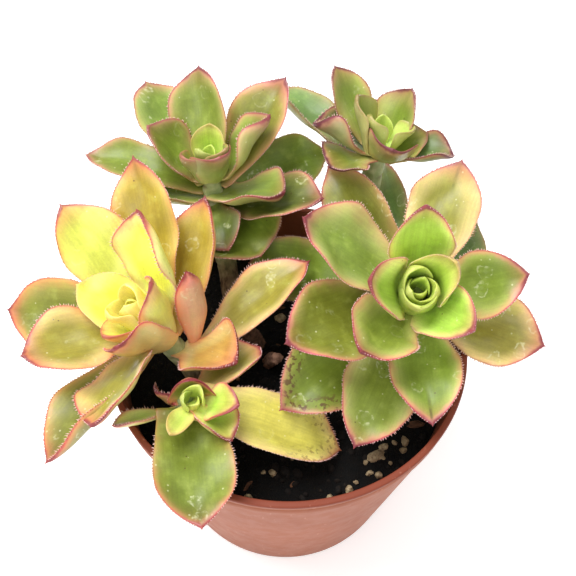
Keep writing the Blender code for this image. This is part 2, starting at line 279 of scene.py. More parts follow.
class Paint:
    """Builds one material's nodes."""

    def __init__(self, name):
        self.material = bpy.data.materials.new(name)
        self.material.use_nodes = True
        self.tree = self.material.node_tree
        self.shader = self.tree.nodes["Principled BSDF"]
        self.place = self.node("ShaderNodeTexCoord", {})["Object"]

    def node(self, kind, inputs, **settings):
        """A new node, its inputs fed by name or number."""
        made = self.tree.nodes.new(kind)
        for key, value in settings.items():
            setattr(made, key, value)
        for key, value in inputs.items():
            self.feed(made.inputs[key], value)
        return made.outputs

    def feed(self, socket, value):
        if isinstance(value, bpy.types.NodeSocket):
            self.tree.links.new(value, socket)
        elif isinstance(value, tuple) and len(value) == 3 and socket.type == "RGBA":
            socket.default_value = (*value, 1.0)
        else:
            socket.default_value = value

    def attribute(self, name, colour=False):
        made = self.node("ShaderNodeAttribute", {}, attribute_name=name)
        return made["Color" if colour else "Fac"]

    def math(self, operation, first, second=0.0):
        return self.node("ShaderNodeMath", {0: first, 1: second}, operation=operation)[0]

    def times(self, product, *factors):
        for factor in factors:
            product = self.math("MULTIPLY", product, factor)
        return product

    def plus(self, total, *terms):
        for term in terms:
            total = self.math("ADD", total, term)
        return total

    def step(self, value, start, end, low=0.0, high=1.0):
        """A smooth change from low at start to high at end."""
        inputs = {"Value": value, "From Min": start, "From Max": end, "To Min": low, "To Max": high}
        return self.node("ShaderNodeMapRange", inputs, interpolation_type="SMOOTHSTEP")[0]

    def mix(self, share, first, second, blend="MIX"):
        inputs = {0: share, 6: first, 7: second}
        return self.node("ShaderNodeMix", inputs, data_type="RGBA", blend_type=blend)[2]

    def tint(self, share, colour, seen):
        """The colour, changed by a share to one as seen, from 0 to 255."""
        return self.mix(share, colour, linear(seen))

    def stretched(self, scale):
        return self.node("ShaderNodeMapping", {"Vector": self.place, "Scale": Vector(scale)})[0]

    def noise(self, size, detail, place=None):
        """Cloudy noise from 0 to 1 with features of about size millimetres."""
        inputs = {"Vector": place or self.place, "Scale": 1 / (size * MM), "Detail": detail}
        return self.node("ShaderNodeTexNoise", {**inputs, "Roughness": 0.55})[0]

    def vector(self, x, y, z):
        return self.node("ShaderNodeCombineXYZ", {0: x, 1: y, 2: z})[0]

    def warped(self, size, amount):
        """The object's own coordinates, pushed about by noise, both in millimetres."""
        push = self.node("ShaderNodeTexNoise", {"Vector": self.place, "Scale": 1 / (size * MM)})[1]
        inputs = {0: push, 1: Vector((1, 1, 1)) * amount * MM, 2: self.place}
        return self.node("ShaderNodeVectorMath", inputs, operation="MULTIPLY_ADD")[0]

    def cells(self, size, place=None):
        """Cells of about size millimetres: distance from their middles, and two numbers from 0
        to 1 that differ in each cell."""
        inputs = {"Vector": place or self.place, "Scale": 1 / (size * MM)}
        made = self.node("ShaderNodeTexVoronoi", inputs)
        parts = self.node("ShaderNodeSeparateColor", {0: made["Color"]})
        return made["Distance"], parts[0], parts[1]

    def bump(self, height, strength, distance):
        inputs = {"Height": height, "Strength": strength, "Distance": distance * MM}
        self.feed(self.shader.inputs["Normal"], self.node("ShaderNodeBump", inputs)[0])

    def finish(self, colour, roughness, **sockets):
        for name, value in {"Base_Color": colour, "Roughness": roughness, **sockets}.items():
            self.feed(self.shader.inputs[name.replace("_", " ")], value)
        return self.material


# ---------- materials
def leaf_paint(name, flush_colour, edge_colour):
    """Leaf skin: blade colours from the mesh, flushed and red towards the toothed margin."""
    p = Paint(name)
    core, rim = p.attribute("core", True), p.attribute("rim", True)
    edge, tip = p.attribute("edge"), p.attribute("tip")
    middle, under = p.attribute("middle"), p.attribute("under")
    flush, wear = p.attribute("flush"), p.attribute("wear")
    clouds, mottle, grain = p.noise(13, 2), p.noise(3.2, 4), p.noise(0.5, 3)

    # Distance from the margin in millimetres, made uneven for each patch of colour.
    wander = p.times(p.math("SUBTRACT", mottle, 0.5), 2.4)
    inward = p.plus(edge, wander)
    drift = p.times(p.math("SUBTRACT", clouds, 0.5), 5.0)
    far_inward = p.plus(p.times(inward, p.attribute("spread")), drift)

    # The blade: one colour in the middle, one towards the margin, with clouds and fine veins.
    # Paler margin: partly the leaf's own colour, partly painted glow of light through the edge.
    share = p.times(p.step(far_inward, 8.0, 0.0), p.step(tip, 1.0, 10.0, 0.25, 1.0))
    colour = p.mix(share, core, rim)
    veins = p.noise(1000, 3, p.vector(p.times(middle, 1.5), p.times(tip, 0.09), clouds))
    shades = ((clouds, 0.86, 1.1), (mottle, 0.92, 1.07), (veins, 0.93, 1.06), (grain, 0.95, 1.05))
    for pattern, low, high in shades:
        colour = p.mix(1.0, colour, p.step(pattern, 0.3, 0.7, low, high), "MULTIPLY")
    colour = p.tint(p.step(mottle, 0.5, 0.8, 0.0, 0.22), colour, (186, 196, 104))
    pinkness = p.times(flush, p.step(far_inward, 4.0, 0.0))
    colour = p.tint(p.times(pinkness, 0.6), colour, flush_colour)

    # A dark midline near some tips, a paler underside and a ruddy end.
    streak = p.times(
        p.step(p.math("ABSOLUTE", middle), 0.75, 0.1), p.step(tip, 13.0, 6.0),
        p.step(mottle, 0.35, 0.6, 0.2, 0.8), p.attribute("streak"), p.step(under, 1.0, 0.0),
    )
    colour = p.tint(streak, colour, (92, 96, 48))
    back = p.mix(p.step(mottle, 0.3, 0.7, 0.25, 0.5), colour, linear((190, 180, 130)))
    colour = p.mix(p.times(under, 0.75), colour, back)
    ruddy = p.times(p.step(tip, 9.0, 2.0), p.step(flush, 0.0, 0.4, 0.3, 1.0))
    colour = p.mix(ruddy, colour, p.mix(1.0, colour, (1.0, 0.66, 0.92), "MULTIPLY"))

    # Dried water marks: broken pale rings, fine pale dots and a few brown specks.
    distance, chance, _ = p.cells(8.0, p.warped(3.5, 3.6))
    ring = p.times(p.step(distance, 0.20, 0.27), p.step(distance, 0.32, 0.27))
    ring = p.math("MAXIMUM", ring, p.step(distance, 0.25, 0.15, 0.0, 0.15))
    broken = p.step(p.noise(1.3, 3), 0.40, 0.62)
    ring = p.times(ring, broken, p.math("GREATER_THAN", chance, 0.5), wear)
    distance, pale_chance, brown_chance = p.cells(1.9)
    dots = p.times(p.step(distance, 0.17, 0.1), p.math("GREATER_THAN", pale_chance, 0.84))
    specks = p.times(p.step(distance, 0.16, 0.08), p.math("LESS_THAN", brown_chance, 0.035))
    pale = p.math("MAXIMUM", p.times(ring, 0.36), p.times(dots, 0.36))
    colour = p.tint(pale, colour, (236, 238, 196))
    colour = p.tint(p.times(specks, 0.75), colour, (74, 44, 28))

    # Corky brown scars near the margin of a few old leaves.
    cork = p.times(
        p.step(p.noise(1.5, 5), 0.53, 0.6), p.step(edge, 7.0, 3.0), p.step(tip, 24.0, 12.0),
        p.attribute("scars"),
    )
    colour = p.tint(cork, colour, (88, 56, 34))

    # The margin: a pink band, a red line, darker towards the tip, with pale teeth.
    redness = p.attribute("redness")
    band = p.times(p.step(inward, 1.7, 0.1), p.step(tip, 26.0, 4.0, 0.25, 0.8), redness)
    colour = p.tint(p.times(band, 0.62), colour, flush_colour)
    line = p.step(p.plus(edge, p.times(wander, 0.2)), 0.6, 0.1)
    line = p.times(line, p.step(tip, 24.0, 3.0, 0.22, 0.95), redness)
    colour = p.tint(line, colour, edge_colour)
    point = p.times(p.step(inward, 1.4, 0.2), p.step(tip, 6.5, 1.0))
    point = p.times(p.math("MAXIMUM", point, p.step(tip, 1.5, 0.4)), redness)
    colour = p.tint(point, colour, [c * 0.62 for c in edge_colour])
    colour = p.tint(p.step(edge, 0.0, -0.35, 0.0, 0.8), colour, (236, 190, 180))

    relief = p.plus(p.times(grain, 0.6), p.times(mottle, 0.6), p.times(veins, 0.5))
    p.bump(p.plus(relief, p.times(pale, 0.5)), 0.25, 0.18)
    roughness = p.plus(p.step(mottle, 0.3, 0.7, 0.33, 0.46), p.times(pale, 0.3))
    return p.finish(
        colour, roughness, Subsurface_Weight=0.16, Subsurface_Radius=(1.0, 0.9, 0.3),
        Subsurface_Scale=2.2 * MM, Specular_IOR_Level=0.42,
    )


def stem_paint(name):
    """Stem skin: woody brown near the soil, pale green above, ringed by leaf scars."""
    p = Paint(name)
    height, scar = p.attribute("height"), p.attribute("scar")
    mottle = p.noise(2.4, 5)
    fibres = p.noise(1.2, 4, p.stretched((1, 1, 0.18)))
    green = p.mix(p.step(mottle, 0.35, 0.7), linear((150, 164, 112)), linear((186, 188, 142)))
    wood = p.mix(p.step(fibres, 0.35, 0.65), linear((92, 68, 50)), linear((158, 132, 104)))
    colour = p.mix(p.step(p.plus(height, p.times(mottle, 8.0)), 22.0, 8.0), green, wood)
    colour = p.tint(p.times(scar, 0.7), colour, (120, 98, 74))
    p.bump(p.plus(fibres, p.times(mottle, 0.5)), 0.6, 0.5)
    return p.finish(colour, p.step(mottle, 0.2, 0.8, 0.5, 0.75), Specular_IOR_Level=0.3)


def pot_paint():
    """Terracotta-coloured polypropylene: faint flow streaks, scuffs, painted shade on lip and
    inside.
    """
    p = Paint("terracotta_plastic")
    inside, height, lip = p.attribute("inside"), p.attribute("height"), p.attribute("lip")
    clouds, mottle, grain = p.noise(26, 2), p.noise(5, 4), p.noise(0.7, 4)
    streaks = p.noise(3.0, 3, p.stretched((1, 1, 0.06)))
    colour = p.mix(p.step(clouds, 0.3, 0.7), linear((145, 84, 60)), linear((152, 90, 65)))
    colour = p.tint(p.step(streaks, 0.35, 0.75, 0.0, 0.08), colour, (176, 112, 88))
    # The lip painted darker than the body: painted shade.
    colour = p.tint(p.times(lip, 0.75), colour, (112, 44, 28))
    scuffs = p.times(p.step(p.noise(1.4, 5, p.stretched((1, 1, 0.3))), 0.62, 0.72), 0.18)
    colour = p.tint(scuffs, colour, (214, 160, 140))
    # The inside wall: painted shade over all of it, darker still towards the soil.
    darker_near_soil = p.times(inside, p.step(p.plus(height, p.times(mottle, 6.0)), 71.0, 65.0))
    colour = p.tint(p.times(inside, 0.4), colour, (120, 54, 38))
    colour = p.tint(p.times(darker_near_soil, 0.8), colour, (40, 26, 20))
    foot = p.times(p.step(p.plus(height, p.times(mottle, 4.0)), 4.5, 1.5), 0.3)
    colour = p.tint(foot, colour, (120, 78, 60))
    p.bump(p.plus(p.times(grain, 0.6), p.times(streaks, 0.5)), 0.2, 0.12)
    return p.finish(colour, p.step(mottle, 0.3, 0.7, 0.5, 0.62), Specular_IOR_Level=0.22)


def earth_paint():
    p = Paint("soil")
    mottle, grain = p.noise(2.2, 6), p.noise(0.5, 5)
    colour = p.mix(p.step(mottle, 0.35, 0.7), linear((5, 5, 5)), linear((17, 14, 12)))
    colour = p.tint(p.step(grain, 0.6, 0.75, 0.0, 0.25), colour, (44, 34, 27))
    p.bump(p.plus(mottle, p.times(grain, 0.7)), 1.0, 0.8)
    return p.finish(colour, p.step(mottle, 0.3, 0.7, 0.78, 0.96), Specular_IOR_Level=0.2)


def crumb_paint(name, dark, light, size):
    p = Paint(name)
    mottle, grain = p.noise(size, 5), p.noise(0.35, 4)
    colour = p.mix(p.step(mottle, 0.3, 0.7), linear(dark), linear(light))
    colour = p.tint(p.step(grain, 0.58, 0.72, 0.0, 0.4), colour, [c * 0.45 for c in dark])
    p.bump(p.plus(mottle, grain), 0.8, 0.4)
    return p.finish(colour, p.step(mottle, 0.3, 0.7, 0.7, 0.95), Specular_IOR_Level=0.25)


# ---------- mesh helpers
def add_piece(name, points, faces, material, values=None, colours=None):
    """A smooth mesh piece in metres from points in millimetres, with named values on its points."""
    mesh = bpy.data.meshes.new(name)
    mesh.from_pydata((np.asarray(points) * MM).tolist(), [], faces)
    for named, kind, field in ((values, "FLOAT", "value"), (colours, "FLOAT_COLOR", "color")):
        for key, numbers in (named or {}).items():
            layer = mesh.attributes.new(key, kind, "POINT")
            layer.data.foreach_set(field, np.asarray(numbers, np.float32).ravel())
    bm = bmesh.new()
    bm.from_mesh(mesh)
    bmesh.ops.recalc_face_normals(bm, faces=bm.faces)
    if bm.calc_volume(signed=True) < 0:
        bmesh.ops.reverse_faces(bm, faces=bm.faces)
    bm.to_mesh(mesh)
    bm.free()
    mesh.shade_smooth()
    mesh.materials.append(material)
    piece = bpy.data.objects.new(name, mesh)
    bpy.context.scene.collection.objects.link(piece)
    return piece


def hand_over(piece, slot_name, *nodes):
    """The piece moves with the pot and stands for CAD nodes. Its slot_name is not used."""
    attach(piece, "root")
    if nodes:
        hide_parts(*nodes)


def unit(vectors):
    """The vectors at length 1."""
    return vectors / np.linalg.norm(vectors, axis=-1)[..., None]


def run_along(line):
    """Distance of each of a line's points along it."""
    return np.concatenate(([0], np.cumsum(np.linalg.norm(np.diff(line, axis=0), axis=1))))


def at_run(wanted, run, line):
    """Points of a line at the wanted distances."""
    return np.stack([np.interp(wanted, run, axis) for axis in line.T], 1)


def ease(values, start, end):
    """A smooth change from 0 at start to 1 at end."""
    t = np.clip((values - start) / (end - start), 0, 1)
    return t * t * (3 - 2 * t)


def moved(faces, first):
    """Faces for points that come after the first ones of a mesh."""
    return [tuple(first + k for k in face) for face in faces]


def ring_faces(first, second, count):
    """Quads between two closed rings of points, by their first indices."""
    return [
        (first + k, first + (k + 1) % count, second + (k + 1) % count, second + k)
        for k in range(count)
    ]


# ---------- leaves
def rosette_axes(rosette):
    """The rosette's axis and the two directions that span the plane across it."""
    lean, towards = radians(rosette["lean"]), radians(rosette["towards"])
    axis = np.array((sin(lean) * cos(towards), sin(lean) * sin(towards), cos(lean)))
    across = unit(np.array((1.0, 0.0, 0.0)) - axis * axis[0])
    return axis, across, np.cross(axis, across)


def outline(part, neck):
    """Half width of a leaf as part of its widest half width, with a small point at its tip."""
    swell = np.sin(pi / 2 * np.clip(part / LEAF_WIDEST, 0, 1)) ** 1.4
    body = neck + (1 - neck) * swell
    past = np.clip((part - LEAF_WIDEST) / (LEAF_END - LEAF_WIDEST), 0, 1)
    blunt = body * (1 - past**2.1)
    point = TIP_WIDTH * np.clip((1 - part) / TIP_LENGTH, 0, 1)
    return (blunt + point + np.sqrt((blunt - point) ** 2 + 0.0016)) / 2 - 0.012


class Blade:
    """One leaf's surface, worked out from its row of the table."""

    STATIONS = 54
    SIDE = 18

    def __init__(self, rosette, row, base_radius, seed, neck, curl=0, young=False):
        direction, rise, length, width, bend, cupping, roll, drop, tone, flush = row
        self.rng = np.random.RandomState(seed)
        self.length, self.width = length, width
        self.tone, self.flush = tone, flush
        self.axis, across, away = rosette_axes(rosette)
        turn = radians(direction)
        self.outward = across * cos(turn) + away * sin(turn)
        centre = rosette["bud"] if young else rosette["apex"]
        self.start = np.array(centre, float) - self.axis * drop + self.outward * base_radius
        self.rise, self.bend = radians(rise), radians(bend) if bend else 1e-4
        self.cup, self.tilt = radians(max(cupping, 4)), radians(roll)
        self.neck, self.curl = neck, radians(curl)
        self.fold = self.rng.uniform(0.12, 0.3)
        self.thickness = min(LEAF_THICKNESS, 0.5 + 0.075 * length)
        self.hook = self.rng.uniform(-0.6, 1.2)
        self.waves = self.rng.uniform(0, 2 * pi, 6)
        self.blush = self.rng.uniform(-0.25, 0.35)
        self.young = young
        self.roundness = 1.0 if young else 0.6
        self.inset = max(base_radius - 2.2, 0.4) / length

    def frame_at(self, part):
        """Midrib points, and the directions sideways and off the upper face, at parts of the
        length."""
        slope = self.rise + self.bend * np.clip(part, 0, 1)
        ahead = (np.sin(slope) - sin(self.rise)) / self.bend
        above = (cos(self.rise) - np.cos(slope)) / self.bend
        ahead = ahead + np.minimum(part, 0)
        run = ahead[:, None] * self.outward + above[:, None] * self.axis
        middle = self.start + self.length * run
        along = np.cos(slope)[:, None] * self.outward + np.sin(slope)[:, None] * self.axis
        facing = np.cos(slope)[:, None] * self.axis - np.sin(slope)[:, None] * self.outward
        aside = np.cross(facing, along)
        aside, facing = (
            cos(self.tilt) * aside + sin(self.tilt) * facing,
            cos(self.tilt) * facing - sin(self.tilt) * aside,
        )
        return middle, aside, facing

    def half_width(self, part):
        ripple = 1 + 0.012 * np.sin(part * self.length * 0.55 + self.waves[0])
        return self.width / 2 * outline(part, self.neck) * ripple

    def section(self, part, place):
        """Sideways and upward place, and slope, across the cupped, folded and curled blade."""
        steps = np.linspace(0, 1, 25)[:, None]
        v = place[None, :] * steps
        fold = self.fold * ease(part, 0.4, 0.95) + 0.1
        round_off = np.maximum(outline(part, self.neck), 0.05) ** self.roundness
        slope = (self.cup * v + fold * np.tanh(v / 0.12)) * round_off
        curl = np.clip((v * np.sign(self.curl) - 0.3) / 0.7, 0, 1) ** 1.3
        slope = slope + self.curl * curl * ease(part, 0.15, 0.6)
        across, up = np.cos(slope), np.sin(slope)
        x = place * (across[1:] + across[:-1]).mean(0) / 2
        z = place * (up[1:] + up[:-1]).mean(0) / 2
        return x, z, slope[-1]

    def surface(self, part, place, face):
        """Points of the surface and half widths: part along from 0 to 1, place across from -1 to
        1, face 1 on the upper side, -1 on the underside and 0 on the margin."""
        middle, aside, facing = self.frame_at(part)
        half = self.half_width(part)
        x, z, slope = self.section(part, place)
        x, z = x * half, z * half
        z = z + self.hook * ease(part, 0.8, 1.0) ** 2
        run = part * self.length
        wave = 0.30 * np.sin(0.42 * run + 0.25 * x + self.waves[1])
        wave += 0.22 * np.sin(0.31 * run - 0.5 * x + self.waves[2])
        wave += 0.35 * place**2 * np.sin(0.36 * run + self.waves[3] + 2 * np.sign(place))
        z = z + wave * ease(part, 0.05, 0.4) * (1 - ease(part, 0.85, 1.0)) * np.minimum(half / 8, 1)
        thick = self.thickness * (1 - 0.45 * np.clip(part, 0, 1) ** 2)
        thick = np.minimum(thick, 1.5 * half + 0.1)
        belly = np.sqrt(np.clip(1 - place**2, 0, 1)) ** 1.15
        lift = np.where(face > 0, 0.4 * thick, -0.6 * thick) * belly
        keel = 0.5 * ease(part, 0.5, 0.95) * np.clip(1 - abs(place), 0, 1) ** 2
        lift = lift - np.where(face < 0, keel * np.minimum(half / 5, 1), 0.0)
        x = x - lift * np.sin(slope)
        z = z + lift * np.cos(slope)
        return middle + aside * x[:, None] + facing * z[:, None], half

    def line(self, part, place):
        """Points on the margin, or between the faces at one place across."""
        return self.surface(part, np.full(len(part), float(place)), np.zeros(len(part)))[0]

    def mesh(self, teeth):
        """Points, faces and values of the leaf and its marginal teeth."""
        t = np.linspace(0, 1, self.STATIONS)
        parts = -self.inset + (1 + self.inset) * (1 - (1 - t) ** 1.35)
        angles = np.linspace(0, pi, self.SIDE + 1)
        places = np.concatenate((-np.cos(angles), np.cos(angles[1:-1])))
        faces_up = np.concatenate((np.ones(self.SIDE + 1), -np.ones(self.SIDE - 1)))
        ring = len(places)
        part, place = np.repeat(parts[:-1], ring), np.tile(places, self.STATIONS - 1)
        face = np.tile(faces_up, self.STATIONS - 1)
        points, half = self.surface(part, place, face)
        rate = np.gradient(self.half_width(parts[:-1]), parts[:-1] * self.length)
        slant = np.repeat(1 / np.sqrt(1 + rate**2), ring)
        values = {
            "edge": (half - half * abs(place)) * slant, "tip": (1 - part) * self.length,
            "middle": place * half, "under": (face < 0).astype(float), "reach": np.clip(part, 0, 1),
        }
        faces = []
        for k in range(self.STATIONS - 2):
            faces += ring_faces(k * ring, (k + 1) * ring, ring)
        points = np.concatenate((points, self.line(np.array([1.0]), 0)))
        for key in values:
            values[key] = np.append(values[key], 1.0 if key == "reach" else 0.0)
        last, apex = (self.STATIONS - 2) * ring, len(points) - 1
        faces += [(last + k, last + (k + 1) % ring, apex) for k in range(ring)]
        faces.append(tuple(range(ring)))
        if teeth:
            points, faces, values = self.add_teeth(points, faces, values, teeth)
        return points, faces, values

    def add_teeth(self, points, faces, values, size):
        """Fine pointed teeth along both margins, leaning towards the tip."""
        fine = np.linspace(0.16, 0.975, 400)
        new_points, new_faces, new_values = [], [], []
        for side in (-1, 1):
            line = self.line(fine, side)
            run = run_along(line)
            count = int(run[-1] / TOOTH_SPACING)
            wanted = (np.arange(count) + self.rng.uniform(0.2, 0.8, count)) * TOOTH_SPACING
            part = np.interp(wanted, run, fine)
            foot = at_run(wanted, run, line)
            run_way = unit(at_run(wanted + 0.2, run, line) - at_run(wanted - 0.2, run, line))
            out = foot - self.line(part, side * 0.86)
            out = unit(out - run_way * np.sum(out * run_way, 1)[:, None])
            way = unit(out + run_way * self.rng.uniform(0.25, 0.8, count)[:, None])
            upright = np.cross(run_way, out)
            tall = size * self.rng.uniform(0.55, 1.25, count)
            wide = 0.22 * np.minimum(tall / 0.35, 1)
            base = foot - out * 0.22
            for k in range(count):
                first = len(points) + len(new_points)
                for along, up in ((1, 0), (0, 1), (-1, 0), (0, -1)):
                    corner = 1.25 * along * run_way[k] + up * upright[k]
                    new_points.append(base[k] + wide[k] * corner)
                new_points.append(foot[k] + way[k] * tall[k])
                new_faces += [(first + a, first + (a + 1) % 4, first + 4) for a in range(4)]
                new_faces.append((first + 3, first + 2, first + 1, first))
                to_tip = (1 - part[k]) * self.length
                new_values += [(0.1, to_tip, part[k])] * 4 + [(-tall[k], to_tip, part[k])]
        edge, to_tip, reach = np.array(new_values).T
        added = {
            "edge": edge, "tip": np.maximum(to_tip, 2.0), "middle": np.full(len(edge), 5.0),
            "under": np.zeros(len(edge)), "reach": reach,
        }
        values = {key: np.append(values[key], added[key]) for key in values}
        return np.concatenate((points, np.array(new_points))), faces + new_faces, values

    def spread(self, middle, reach):
        """How narrow the blush along the margins is, different on each side and along the leaf."""
        sided = 0.32 * np.sin(self.waves[4]) * np.tanh(middle / 3)
        along = 0.25 * np.sin(3.4 * reach + self.waves[5])
        return np.clip(1.25 + sided + along + self.blush, 0.7, 2.0)

    def colours(self, reach):
        """Middle and margin colours on the mesh's points: paler and yellower towards the base."""
        core, rim = (np.array(linear(c)) for c in TONES[self.tone])
        shift = 1 + self.rng.uniform(-0.06, 0.06, 3)
        base = 0.45 * core + 0.55 * rim
        share = (1 - ease(reach, 0.0, 0.45))[:, None] * (0.7 if self.young else 0.55)
        core = (core * (1 - share) + base * share) * shift
        full = np.ones((len(reach), 1))
        return {"core": np.hstack((core, full)), "rim": np.hstack((full * rim * shift, full))}


def leaf_values(blade, values, wear, streak=0.0, scars=0.0):
    """The values on a leaf's points that its material reads."""
    redness = min(1.0, blade.flush / 5 + (0.0 if blade.young else 0.25))
    whole = {
        "flush": blade.flush / 9, "wear": wear, "redness": redness, "streak": streak, "scars": scars
    }
    made = {key: values[key] for key in ("edge", "tip", "middle", "under")}
    made["spread"] = blade.spread(values["middle"], values["reach"])
    made.update({key: np.full(len(values["edge"]), number) for key, number in whole.items()})
    return made


# Leaves that are broad right to their base, as part of the widest width there, and leaves with
# one side curled up: degrees, positive on the leaf's left side.
NECKS = {
    "pup_leaf_02": 0.78, "pup_leaf_05": 0.6, "back_left_leaf_05": 0.7, "back_left_leaf_06": 0.6,
    "back_left_leaf_10": 0.5, "back_left_leaf_02": 0.5,
}
CURLS = {
    "left_leaf_04": -70, "left_leaf_08": -75, "left_leaf_03": 55, "left_leaf_05": 70,
    "back_left_leaf_11": -75, "back_right_leaf_01": 60, "back_right_leaf_05": 60,
    "back_right_leaf_04": 50, "back_left_leaf_06": 50, "left_leaf_02": 50,
}

# How strong the dark midline near the tip is, and the corky scars of old leaves, from 0 to 1.
STREAKS = {"right_leaf_09": 1.0, "right_leaf_08": 0.8, "pup_leaf_02": 0.5, "left_leaf_06": 0.3}
SCARS = {"right_leaf_04": 0.85, "pup_leaf_05": 0.5}
FAINT_STREAK = 0.05

# Share of a rosette's leaves that are old, and how strong the water marks are, from 0 to 1.
OLD_SHARE = 0.7
OLD_WEAR, UPPER_WEAR, INNER_WEAR = 1.0, 0.35, 0.3

# Length of the teeth in millimetres, on a rosette's lower leaves, its upper ones and its longer
# inner leaves.
LOWER_LEAVES = 9
LOWER_TEETH, UPPER_TEETH, INNER_TEETH = 0.85, 0.7, 0.4
LONG_INNER_LEAF = 20


def joined(parts):
    return {key: np.concatenate([part[key] for part in parts]) for key in parts[0]}


def make_rosette(name, rosette, seed):
    """The grown leaves of one rosette, each in place of its CAD node, and its inner leaves."""
    paint = leaf_paint(name + "_leaf_skin", rosette["flush"], rosette["edge"])
    for number, row in enumerate(rosette["leaves"], start=1):
        node = "%s_leaf_%02d" % (name, number)
        neck, curl = NECKS.get(node, LEAF_NECK), CURLS.get(node, 0)
        blade = Blade(rosette, row, LEAF_BASE_RADIUS, seed + number, neck, curl)
        points, faces, values = blade.mesh(LOWER_TEETH if number <= LOWER_LEAVES else UPPER_TEETH)
        old = number <= OLD_SHARE * len(rosette["leaves"])
        streak, scars = STREAKS.get(node, FAINT_STREAK), SCARS.get(node, 0)
        named = leaf_values(blade, values, OLD_WEAR if old else UPPER_WEAR, streak, scars)
        colours = blade.colours(values["reach"])
        piece = add_piece(node + "_blade", points, faces, paint, named, colours)
        hand_over(piece, name + "_leaf", node)
    make_heart(name, rosette, seed + 50, paint)


def make_heart(name, rosette, seed, paint):
    """The rosette's inner leaves, as one piece in place of the CAD part's closed heart."""
    all_points, all_faces, all_values, all_colours = [], [], [], []
    for number, (base_radius, *row) in enumerate(rosette["inner"]):
        blade = Blade(rosette, row, base_radius, seed + number, INNER_NECK, young=True)
        points, faces, values = blade.mesh(INNER_TEETH if blade.length > LONG_INNER_LEAF else 0)
        all_faces += moved(faces, sum(len(done) for done in all_points))
        all_points.append(points)
        all_values.append(leaf_values(blade, values, INNER_WEAR))
        all_colours.append(blade.colours(values["reach"]))
    piece = add_piece(
        name + "_inner_leaves", np.concatenate(all_points), all_faces, paint,
        joined(all_values), joined(all_colours),
    )
    hand_over(piece, "heart_leaf", name + "_heart")


# ---------- stems
def stem_line(rosette, count):
    """Points of one stem, on the CAD part's curve from the soil to under the heart."""
    axis = rosette_axes(rosette)[0]
    foot = np.array((*rosette["root"], STEM_BASE - STEM_DEPTH), float)
    top = np.array(rosette["apex"], float) - axis
    reach = STEM_REACH * (top[2] - STEM_BASE)
    upright = foot + np.array((0, 0, STEM_DEPTH + STEM_UPRIGHT * reach))
    leaning = top - axis * reach
    t = np.linspace(0, 1, count)[:, None]
    ends = foot * (1 - t) ** 3 + top * t**3
    return ends + upright * 3 * t * (1 - t) ** 2 + leaning * 3 * t * t * (1 - t)


def round_angles(sides):
    return np.arange(sides) * 2 * pi / sides


def swept_tube(line, radii, sides):
    """Points of a tube round a line, ring by ring."""
    along = unit(np.gradient(line, axis=0))
    across = unit(np.array((1.0, 0, 0)) - along * along[:, :1])
    other = np.cross(along, across)
    angles = round_angles(sides)[None, :, None]
    spread = np.cos(angles) * across[:, None] + np.sin(angles) * other[:, None]
    return (line[:, None] + radii[..., None] * spread).reshape(-1, 3)


def tube_faces(count, sides):
    """Faces of a closed tube of rings, with a flat cap at each end."""
    faces = []
    for k in range(count - 1):
        faces += ring_faces(k * sides, (k + 1) * sides, sides)
    return faces + [tuple(range(sides)), tuple((count - 1) * sides + k for k in range(sides))]


def make_stem(name, rosette, seed):
    """A stem with the crescent scars of fallen leaves in a spiral up it."""
    rng = np.random.RandomState(seed)
    count, sides = 90, 36
    line = stem_line(rosette, count)
    run = run_along(line)
    height, turn = np.meshgrid(run, round_angles(sides), indexing="ij")
    swell = 0.04 * np.sin(height * 0.5 + seed) + 0.03 * np.sin(3 * turn + height * 0.3)
    radius = STEM_RADIUS * (1 + swell)
    scar = np.zeros_like(radius)
    for k in range(int(run[-1] / SCAR_SPACING)):
        at = SCAR_SPACING * k + rng.uniform(-0.5, 0.5)
        gap = (turn - k * SCAR_TURN + pi) % (2 * pi) - pi
        crescent = np.exp(-((height - at - 0.5 * gap**2) / 0.5) ** 2) * np.exp(-((gap / 0.75) ** 4))
        scar = np.maximum(scar, crescent)
    radius = radius * (1 - 0.35 * ease(height, run[-1] - 8, run[-1])) - 0.35 * scar
    points = swept_tube(line, radius, sides)
    skin = name + "_stem_skin"
    above_soil = np.repeat(line[:, 2] - STEM_BASE, sides)
    values = {"height": above_soil, "scar": scar}
    piece = add_piece(skin, points, tube_faces(count, sides), stem_paint(skin), values)
    hand_over(piece, "stem_skin", name + "_stem")


# ---------- pot
def outer_radius(height):
    collar_radius = RIM_RADIUS - LIP_REACH - COLLAR_STEP
    return FOOT_RADIUS + (collar_radius - FOOT_RADIUS) * height / (POT_HEIGHT - COLLAR_HEIGHT)


def inner_radius(height):
    return outer_radius(height) - WALL


def arc_points(centre, radius, start, end, count):
    """Points (radius, height) on an arc of the pot's section, angles in degrees."""
    angles = [radians(start + (end - start) * k / (count - 1)) for k in range(count)]
    return [(centre[0] + radius * cos(a), centre[1] + radius * sin(a)) for a in angles]


